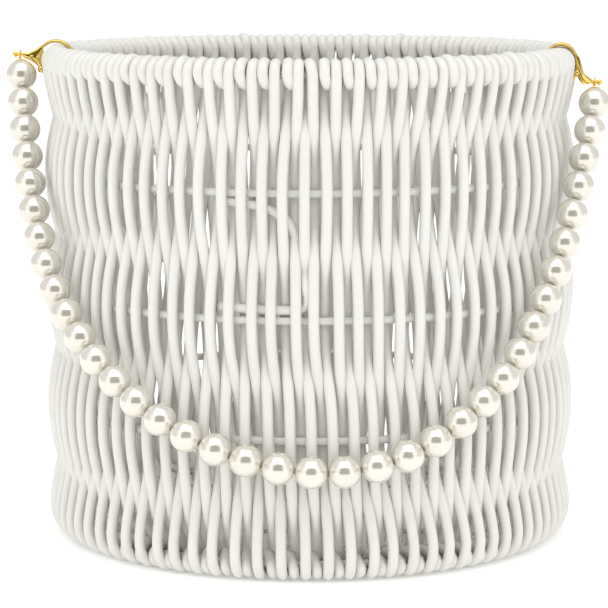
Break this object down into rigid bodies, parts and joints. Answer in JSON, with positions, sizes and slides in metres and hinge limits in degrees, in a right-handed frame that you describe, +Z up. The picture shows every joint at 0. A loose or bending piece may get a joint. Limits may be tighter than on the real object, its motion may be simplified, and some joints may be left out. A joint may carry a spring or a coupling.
{
  "type": "flower girl basket",
  "caption": "Round wicker basket woven from coated cane over wire hoops, with a clip-on strand of faux pearls as its handle.",
  "frame": {"origin": "on the basket's axis, at the surface that it stands on", "axes": "+Z up, along the basket's axis; -Y towards the front, where the strand drapes; +X to the right of that front"},
  "size_m": [0.1889, 0.179, 0.1566],
  "materials": {
    "cane": "satin white coated round cane",
    "wire": "glossy white coated steel wire",
    "pearl": "ivory nacre coating, glossy",
    "thread": "white beading thread",
    "gold": "polished yellow gold plating"
  },
  "bodies": {
    "basket": {"outer_canes": "cane", "inner_canes": "cane", "rim_binding": "cane", "base_binding": "cane", "floor_weave": "cane", "rim_hoop": "wire", "upper_hoop": "wire", "middle_hoop": "wire", "lower_hoop": "wire", "base_hoop": "wire", "floor_ring": "wire", "clasp_left": "gold", "rivet_left": "gold", "clasp_right": "gold", "rivet_right": "gold"},
    "handle": {"thread": "thread", "pearl_01": "pearl", "pearl_02": "pearl", "pearl_03": "pearl", "pearl_04": "pearl", "pearl_05": "pearl", "pearl_06": "pearl", "pearl_07": "pearl", "pearl_08": "pearl", "pearl_09": "pearl", "pearl_10": "pearl", "pearl_11": "pearl", "pearl_12": "pearl", "pearl_13": "pearl", "pearl_14": "pearl", "pearl_15": "pearl", "pearl_16": "pearl", "pearl_17": "pearl", "pearl_18": "pearl", "pearl_19": "pearl", "pearl_20": "pearl", "pearl_21": "pearl", "pearl_22": "pearl", "pearl_23": "pearl", "pearl_24": "pearl", "pearl_25": "pearl", "pearl_26": "pearl", "pearl_27": "pearl", "pearl_28": "pearl", "pearl_29": "pearl", "pearl_30": "pearl", "pearl_31": "pearl", "pearl_32": "pearl", "pearl_33": "pearl", "pearl_34": "pearl", "pearl_35": "pearl", "pearl_36": "pearl", "pearl_37": "pearl", "bead_tip_left": "gold", "bead_tip_right": "gold"},
    "gate_left": {"gate_left": "gold"},
    "gate_right": {"gate_right": "gold"}
  },
  "joints": [
    {"name": "handle_swing", "type": "hinge", "parent": "basket", "child": "handle", "pos_m": [-0.0923, 0.00064, 0.1522], "axis": [-0.9932, 0.1089, 0.0416], "range_deg": [0, 270]},
    {"name": "gate_left_open", "type": "hinge", "parent": "basket", "child": "gate_left", "pos_m": [-0.0854, -0.00014, 0.1476], "axis": [0.0016, -1, 0], "range_deg": [0, 20], "stiffness_Nm_per_rad": 0.004, "springref_deg": -11.46},
    {"name": "gate_right_open", "type": "hinge", "parent": "basket", "child": "gate_right", "pos_m": [0.08334, -0.01864, 0.1476], "axis": [0.2183, 0.9759, 0], "range_deg": [0, 20], "stiffness_Nm_per_rad": 0.004, "springref_deg": -11.46}
  ]
}
